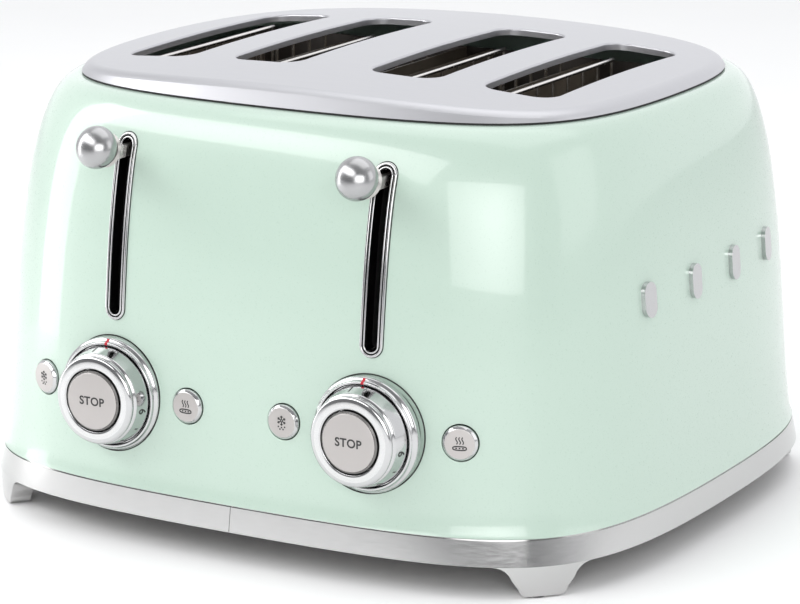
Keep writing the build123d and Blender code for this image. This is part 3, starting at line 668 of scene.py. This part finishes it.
def stroke(path, width):
    """Flat ribbon along a path of (x, y) points."""
    points, faces = [], []
    path = [Vector(p) for p in path]
    for i, here in enumerate(path):
        ahead = path[min(i + 1, len(path) - 1)] - path[max(i - 1, 0)]
        normal = Vector((-ahead.y, ahead.x)).normalized() * width / 2
        points += [Vector((*(here + normal), 0)), Vector((*(here - normal), 0))]
        if i:
            n = 2 * i
            faces.append((n - 2, n - 1, n + 1, n))
    return points, faces


def merge(shapes):
    """One list of points and one of faces from several shapes."""
    points, faces = [], []
    for shape_points, shape_faces in shapes:
        base = len(points)
        points += shape_points
        faces += [tuple(base + i for i in face) for face in shape_faces]
    return points, faces


def snowflake():
    """Six-armed flake with drops falling from it."""
    shapes = [stroke([(x, y - 0.35), (x, y + 0.35)], 0.7)
              for x, y in ((-1.6, -1.9), (0, -2.2), (1.6, -1.9), (-0.8, -3.0), (0.8, -3.0))]
    centre = Vector((0, 0.9))
    for n in range(6):
        angle = math.radians(60 * n + 30)
        out = Vector((math.cos(angle), math.sin(angle)))
        across = Vector((-out.y, out.x))
        shapes.append(stroke([centre + out * 0.25, centre + out * 2.3], 0.55))
        for side in (-1, 1):
            root = centre + out * 1.3
            shapes.append(stroke([root, root + (out + across * side).normalized() * 0.85], 0.45))
    return merge(shapes)


def steaming_bun():
    """Three waves of steam over a bun."""
    steps = 14
    shapes = []
    for offset in (-1.35, 0, 1.35):
        shapes.append(stroke([(offset + 0.36 * math.sin(2 * math.pi * n / steps), -0.1 + 3.2 * n / steps)
                              for n in range(steps + 1)], 0.5))

    def soft(value):
        """Flattens a circle's sine or cosine towards a rounded box."""
        return math.copysign(abs(value) ** 0.7, value)

    angles = [2 * math.pi * n / 32 for n in range(33)]
    bun = [(3.0 * soft(math.cos(angle)), -1.9 + 0.85 * soft(math.sin(angle))) for angle in angles]
    shapes.append(stroke(bun, 0.6))
    shapes += [stroke([(x, -2.2), (x, -1.6)], 0.8) for x in (-1.5, 0, 1.5)]
    return merge(shapes)


def make_small_buttons(materials):
    """Four small buttons, square to the casing, each with its icon."""
    icons = {"defrost": snowflake(), "reheat": steaming_bun()}
    top, edge, back, stem = BUTTON_PROUD, BUTTON_RADIUS, -6.5, 2.5
    for name, kind, place in button_spots():
        body = kind + "_" + name
        button = lathe("button_" + body, [
            (0, top), (6.7, top - 0.04, 0.25), (edge - 0.1, 0.75, 0.5), (edge, back), (stem, back),
            (stem, back - 2.0), (0, back - 2.0),
        ], place, [materials["polished_trim"], materials["button_metal"]],
            lambda p: 1 if p.y > top - 0.1 else 0, segments=96)
        finish_piece(button, body, "button_metal", kind + "_button_" + name)
        print_flat("legend_" + body, icons[kind], place, top, body, materials)


def make_lever_knob(name, side, materials):
    """Slightly flattened ball, leaning with the lever's stem, with a flat where the stem enters."""
    place = facing(side * CONTROL_X, *BALL_CENTRE, lean=math.atan(STEM_RISE))
    steps = 40
    start = math.asin(BALL_BORE / BALL_RADIUS)
    outline = [(0, -0.02), (BALL_BORE, -0.02)]
    for n in range(steps):
        angle = start + (math.pi - start) * n / steps
        outline.append((BALL_RADIUS * math.sin(angle), -BALL_REACH * math.cos(angle)))
    outline.append((0, BALL_REACH))
    ball = lathe("lever_knob_" + name, outline, place, [materials["lever_chrome"]])
    finish_piece(ball, "lever_" + name, "polished_trim", "lever_ball_" + name)


def make_spring(name, side, materials):
    """Lift spring round the guide rod, a fixed coil with its foot on the pan."""
    x, (low, high) = side * CONTROL_X, SPRING_Z
    steps, rim = 16 * SPRING_TURNS, 8
    rings = []
    for n in range(steps + 1):
        t = n / steps
        angle = 2 * math.pi * SPRING_TURNS * t
        out = Vector((math.cos(angle), math.sin(angle), 0))
        centre = Vector((x, SPRING_Y, low + (high - low) * t)) + out * SPRING_RADIUS
        rings.append([centre + out * across + Vector((0, 0, rise))
                      for across, rise in circle(SPRING_WIRE, rim)])
    vertices, faces = grid(rings)
    faces += [tuple(range(rim)), tuple(range(steps * rim, (steps + 1) * rim))]
    coil = make_object("lift_coil_" + name, vertices, faces, [materials["spring_steel"]], smooth_angle=60)
    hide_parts("lift_spring_" + name)
    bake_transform(coil)


# ------------------------------------------------------------------ camera, light and floor
def look(eye, target):
    """Placement of a camera or light at eye that faces the target, upright."""
    forward = (target - eye).normalized()
    right = forward.cross(Vector((0, 0, 1))).normalized()
    up = right.cross(forward)
    rotation = Matrix((right, up, -forward)).transposed().to_4x4()
    return Matrix.Translation(eye) @ rotation


def polar(azimuth, elevation, distance, centre):
    """Point round a centre: azimuth 0 is in front and 90 to the right, in degrees; metres."""
    az, el = math.radians(azimuth), math.radians(elevation)
    away = Vector((math.sin(az) * math.cos(el), -math.cos(az) * math.cos(el), math.sin(el)))
    return centre + away * distance


def make_camera():
    data = bpy.data.cameras.new("camera")
    data.sensor_width = 36.0
    data.lens = 154.8
    target = Vector((0.02155, -0.04053, 0.0979))
    camera = bpy.data.objects.new("camera", data)
    camera.matrix_world = look(polar(29.78, 14.12, 1.6025, target), target)
    bpy.context.scene.collection.objects.link(camera)
    bpy.context.scene.camera = camera


def area_light(name, eye, target, width, height, power, spread):
    data = bpy.data.lights.new(name, "AREA")
    data.shape = "RECTANGLE"
    data.size = width
    data.size_y = height
    data.energy = power
    data.spread = math.radians(spread)
    light = bpy.data.objects.new(name, data)
    light.matrix_world = look(eye, target)
    light.visible_camera = False
    bpy.context.scene.collection.objects.link(light)


def make_lights():
    """Soft boxes round the object: azimuth, elevation, distance, width, height, watts and spread."""
    centre = Vector((0, 0, 0.1))
    for name, azimuth, elevation, distance, *box in (
            ("overhead", 170, 84, 1.8, 2.2, 1.6, 10, 180),
            ("shoulder", -38, 37, 1.9, 2.3, 0.65, 7.0, 110),
            ("front", 26, 16, 2.2, 1.7, 1.0, 4.6, 80),
            ("right", 92, 22, 2.1, 1.1, 1.3, 4.0, 180),
            ("left_strip", -64, 17, 0.672, 0.175, 0.62, 1.15, 180)):
        area_light(name, polar(azimuth, elevation, distance, centre), centre, *box)


def make_world():
    """Studio that is dim in front of the object and bright behind it."""
    world = bpy.data.worlds.new("studio")
    world.use_nodes = True
    tree = world.node_tree
    where = tree.nodes.new("ShaderNodeTexCoord")
    split = tree.nodes.new("ShaderNodeSeparateXYZ")
    tree.links.new(where.outputs["Generated"], split.inputs["Vector"])
    behind = remap(tree, split.outputs["Y"], 0.0, 1.0, -0.75, 0.75)
    tree.links.new(colour_mix(tree, behind, (0.26, 0.265, 0.27), (1.22, 1.23, 1.25)),
                   tree.nodes["Background"].inputs["Color"])
    bpy.context.scene.world = world
    bpy.context.scene.view_settings.view_transform = "Standard"


def make_floor():
    reach = 6000
    vertices = [(-reach, -reach, 0), (reach, -reach, 0), (reach, reach, 0), (-reach, reach, 0)]
    material = surface("studio_floor", (0.92, 0.92, 0.92), (0.94, 0.94, 0.94), 0.0, (0.6, 0.7), scale=3)
    floor = make_object("floor", vertices, [(0, 1, 2, 3)], [material])


# ------------------------------------------------------------------ build
def paint_nodes(materials):
    """Gives each carried-over CAD node the material of its record slot."""
    slots = {row["node"]: row["material_slot"] for row in frame["record"]["subparts"]}
    for name, node in frame["nodes"].items():
        material = materials[slots[name]]
        for slot in node.material_slots:
            slot.material = material
            slot.link = "DATA"
        if not node.material_slots:
            node.data.materials.append(material)


def main():
    make_camera()
    make_lights()
    make_world()
    make_floor()
    materials = make_materials()
    paint_nodes(materials)
    make_casing(materials["mint_paint"])
    make_small_buttons(materials)
    for name, side in SIDES:
        make_slot_frame(name, side, materials)
        make_dial(name, side, materials)
        make_lever_knob(name, side, materials)
        make_spring(name, side, materials)


main()
